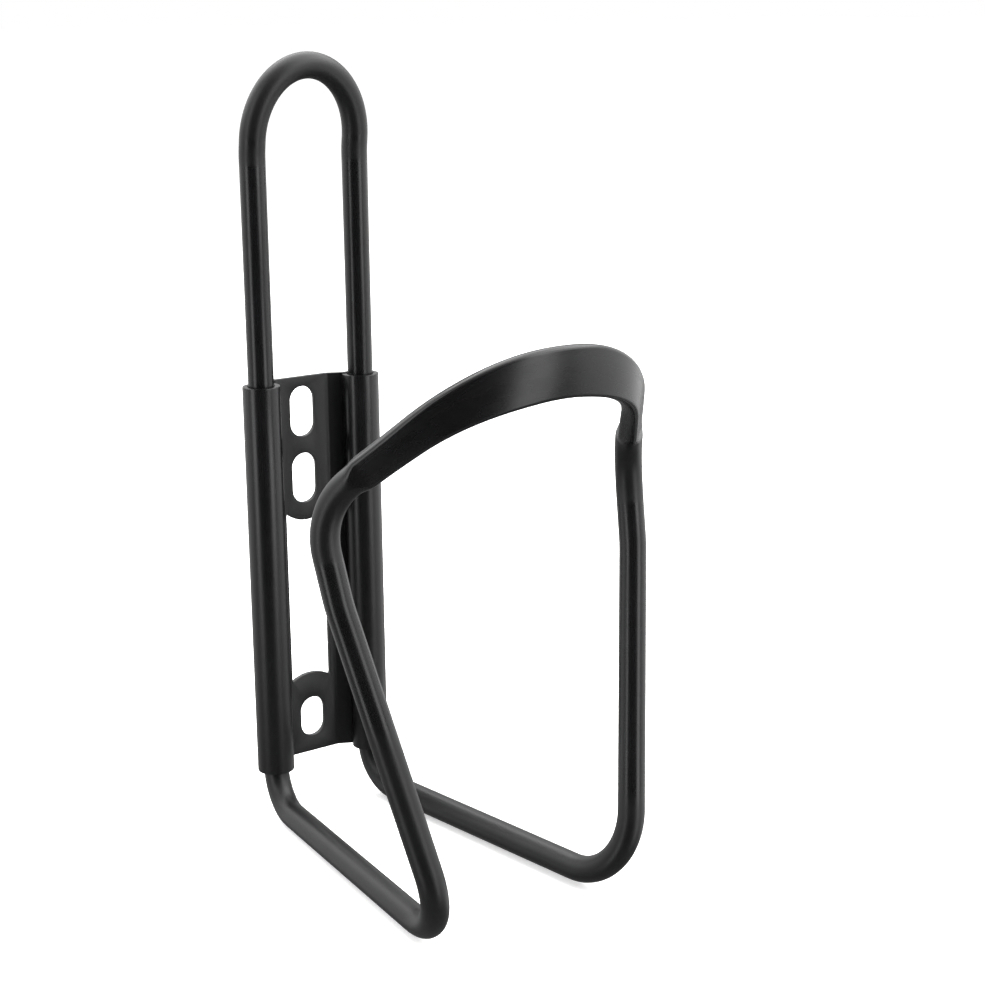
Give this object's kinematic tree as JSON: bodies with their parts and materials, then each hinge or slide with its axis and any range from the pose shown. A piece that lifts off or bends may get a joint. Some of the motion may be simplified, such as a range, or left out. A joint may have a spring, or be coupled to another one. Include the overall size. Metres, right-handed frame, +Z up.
{
  "type": "water bottle cage",
  "caption": "Bent-rod bicycle bottle cage with a pressed-flat front band, a narrow top loop and a slotted back plate with rolled sleeves.",
  "frame": {"origin": "on the rear face of the back plate, on the plate's middle line, between the lower bolt slot and the window, where the plate rests on the bicycle frame", "axes": "+Z up along the uprights, +Y out of the rear face towards the bicycle frame, +X to the right as seen from the bottle's side"},
  "size_m": [0.0692, 0.0866, 0.1507],
  "materials": {
    "black_rod": "satin black anodised",
    "black_sheet": "satin black anodised"
  },
  "bodies": {
    "root": {"rod_loop": "black_rod", "back_plate": "black_sheet"}
  },
  "joints": []
}
